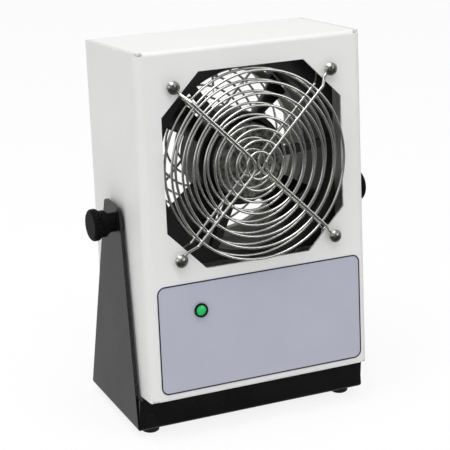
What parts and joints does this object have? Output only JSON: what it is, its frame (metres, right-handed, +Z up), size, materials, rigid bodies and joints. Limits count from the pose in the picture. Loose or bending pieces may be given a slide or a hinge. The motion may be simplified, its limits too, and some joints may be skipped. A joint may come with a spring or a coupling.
{
  "type": "ionizing blower",
  "caption": "Bench ionizing blower: a fan behind wire guards in a white sheet-metal housing that tilts in a black U-shaped stand between two clamp knobs.",
  "frame": {"origin": "On the bench surface under the rubber feet, at the middle of the whole blower's width and depth", "axes": "+X to the right seen from the front, +Y from the front (air outlet) to the back (air inlet), +Z up"},
  "size_m": [0.1878, 0.1074, 0.2406],
  "materials": {
    "stand_paint": "gloss black powder coat",
    "rubber": "matte black rubber",
    "white_paint": "satin white powder coat",
    "zinc": "zinc-plated steel",
    "brass": "bare brass",
    "label": "printed lavender-grey polycarbonate film",
    "black_plastic": "black moulded plastic",
    "gloss_black": "glossy black moulded plastic",
    "green_lens": "translucent green lens",
    "chrome_wire": "bright nickel-plated wire",
    "fan_black": "black painted die casting",
    "bare_plate": "plain satin aluminium disc",
    "copper_winding": "enamelled copper windings on laminations",
    "steel": "ground steel",
    "white_plastic": "white insulating plastic",
    "board_green": "green circuit board",
    "board_parts": "dark component bodies",
    "glass_fuse": "glass fuse tube",
    "green_plastic": "green moulded plastic"
  },
  "bodies": {
    "stand": {"stand_bracket": "stand_paint", "stand_feet": "rubber", "left_pivot_washer": "black_plastic", "right_pivot_washer": "black_plastic"},
    "housing": {"front_shell": "white_paint", "rear_panel": "white_paint", "rear_panel_screws": "zinc", "pivot_inserts": "brass", "front_label": "label", "lamp_bezel": "gloss_black", "lamp_lens": "green_lens", "front_guard": "chrome_wire", "inner_guard": "chrome_wire", "rear_guard": "chrome_wire", "fan_screws": "chrome_wire", "fan_spacers": "zinc", "fan_nuts": "zinc", "rear_guard_screws": "chrome_wire", "rear_guard_nuts": "zinc", "fan_frame": "fan_black", "fan_hub_plate": "bare_plate", "fan_stator": "copper_winding", "fan_bearings": "steel", "emitter_ring": "white_plastic", "emitter_needles": "steel", "high_voltage_module": "black_plastic", "control_board": "board_green", "board_standoffs": "brass", "board_parts": "board_parts", "inlet_body": "black_plastic", "inlet_pins": "zinc", "inlet_screws": "zinc", "switch_frame": "black_plastic", "speed_control": "zinc", "speed_nut": "zinc", "ground_jack": "green_plastic", "ground_nut": "zinc"},
    "fan_rotor": {"fan_rotor": "black_plastic", "rotor_shaft": "steel"},
    "fuse_drawer": {"fuse_drawer": "black_plastic", "fuse": "glass_fuse"},
    "power_switch": {"switch_rocker": "gloss_black"},
    "speed_knob": {"speed_shaft": "steel", "speed_knob": "black_plastic"},
    "left_clamp_knob": {"left_knob": "gloss_black", "left_stud": "zinc"},
    "right_clamp_knob": {"right_knob": "gloss_black", "right_stud": "zinc"}
  },
  "joints": [
    {"name": "housing_tilt", "type": "hinge", "parent": "stand", "child": "housing", "pos_m": [0, -0.00217, 0.13], "axis": [-1, 0, 0], "range_deg": [-1, 25]},
    {"name": "fan_spin", "type": "hinge", "parent": "housing", "child": "fan_rotor", "pos_m": [0, 0.00174, 0.16277], "axis": [0, 0.993, -0.1184], "continuous": true},
    {"name": "left_clamp_turn", "type": "hinge", "parent": "housing", "child": "left_clamp_knob", "pos_m": [-0.075, -0.00217, 0.13], "axis": [-1, 0, 0], "range_deg": [0, 360]},
    {"name": "right_clamp_turn", "type": "hinge", "parent": "housing", "child": "right_clamp_knob", "pos_m": [0.075, -0.00217, 0.13], "axis": [1, 0, 0], "range_deg": [0, 360]},
    {"name": "fuse_drawer_slide", "type": "slide", "parent": "housing", "child": "fuse_drawer", "axis": [0, 0.993, -0.1184], "range_m": [0, 0.014]},
    {"name": "power_switch_rock", "type": "hinge", "parent": "housing", "child": "power_switch", "pos_m": [0.003, 0.02643, 0.05307], "axis": [-1, 0, 0], "range_deg": [0, 16]},
    {"name": "speed_knob_turn", "type": "hinge", "parent": "housing", "child": "speed_knob", "pos_m": [-0.027, 0.02792, 0.0529], "axis": [0, 0.993, -0.1184], "range_deg": [0, 280]}
  ]
}
